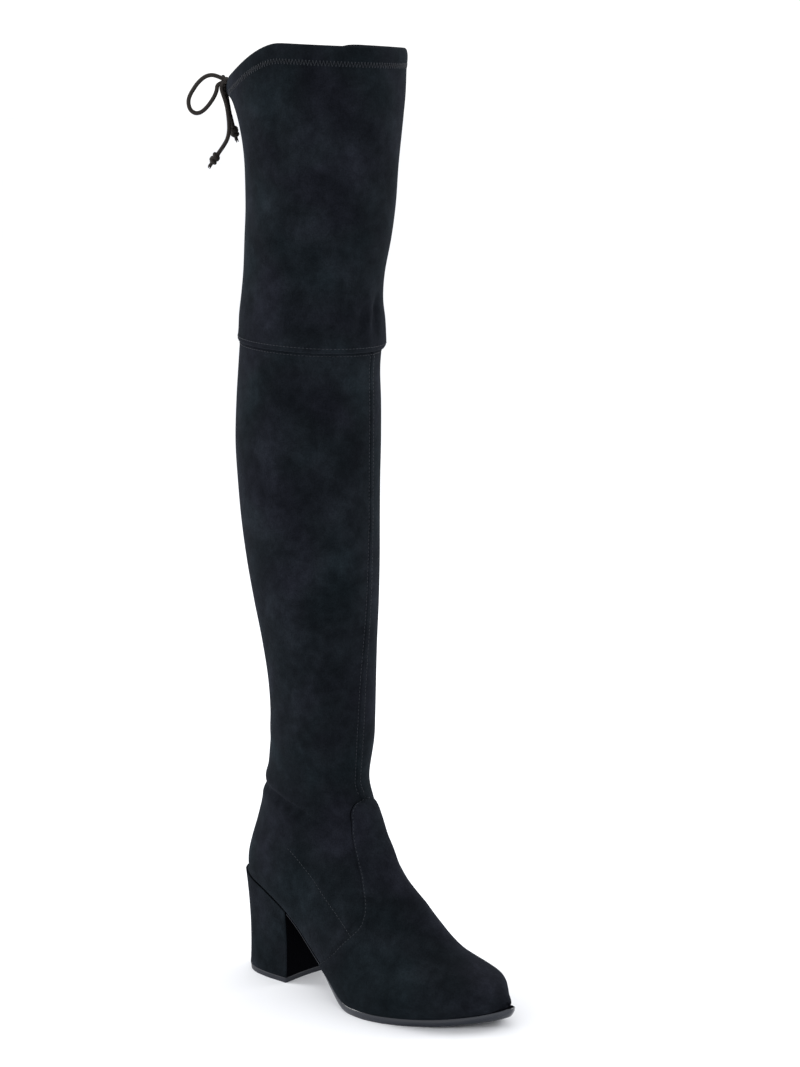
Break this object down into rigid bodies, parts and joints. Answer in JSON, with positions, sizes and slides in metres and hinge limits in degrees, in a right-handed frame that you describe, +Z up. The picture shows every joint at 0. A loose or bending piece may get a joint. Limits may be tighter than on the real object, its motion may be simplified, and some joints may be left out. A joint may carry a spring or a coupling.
{
  "type": "thigh high boot",
  "caption": "Suede thigh high boot for the right foot with a rounded toe, a covered block heel and a drawstring tied in a bow behind the collar.",
  "frame": {"origin": "middle of the heel's ground face", "axes": "+Z up the leg, -Y towards the toe, -X towards the foot's outer side"},
  "size_m": [0.1165, 0.2537, 0.6796],
  "materials": {
    "suede": "near black suede with a soft nap",
    "sole": "smooth black edge with a low gloss",
    "rubber": "matt black",
    "lining": "matt dark cloth",
    "cord": "brownish black round cord"
  },
  "bodies": {
    "root": {"outsole": "sole", "heel_block": "suede", "heel_top_piece": "rubber", "insole": "lining", "upper": "suede", "vamp": "suede", "thigh_shaft": "suede", "drawstring_casing": "suede", "bow_knot": "cord", "bow_loop_outer": "cord", "bow_loop_inner": "cord", "tail_outer": "cord", "tail_inner": "cord", "tail_knot_outer": "cord", "tail_knot_inner": "cord"}
  },
  "joints": []
}
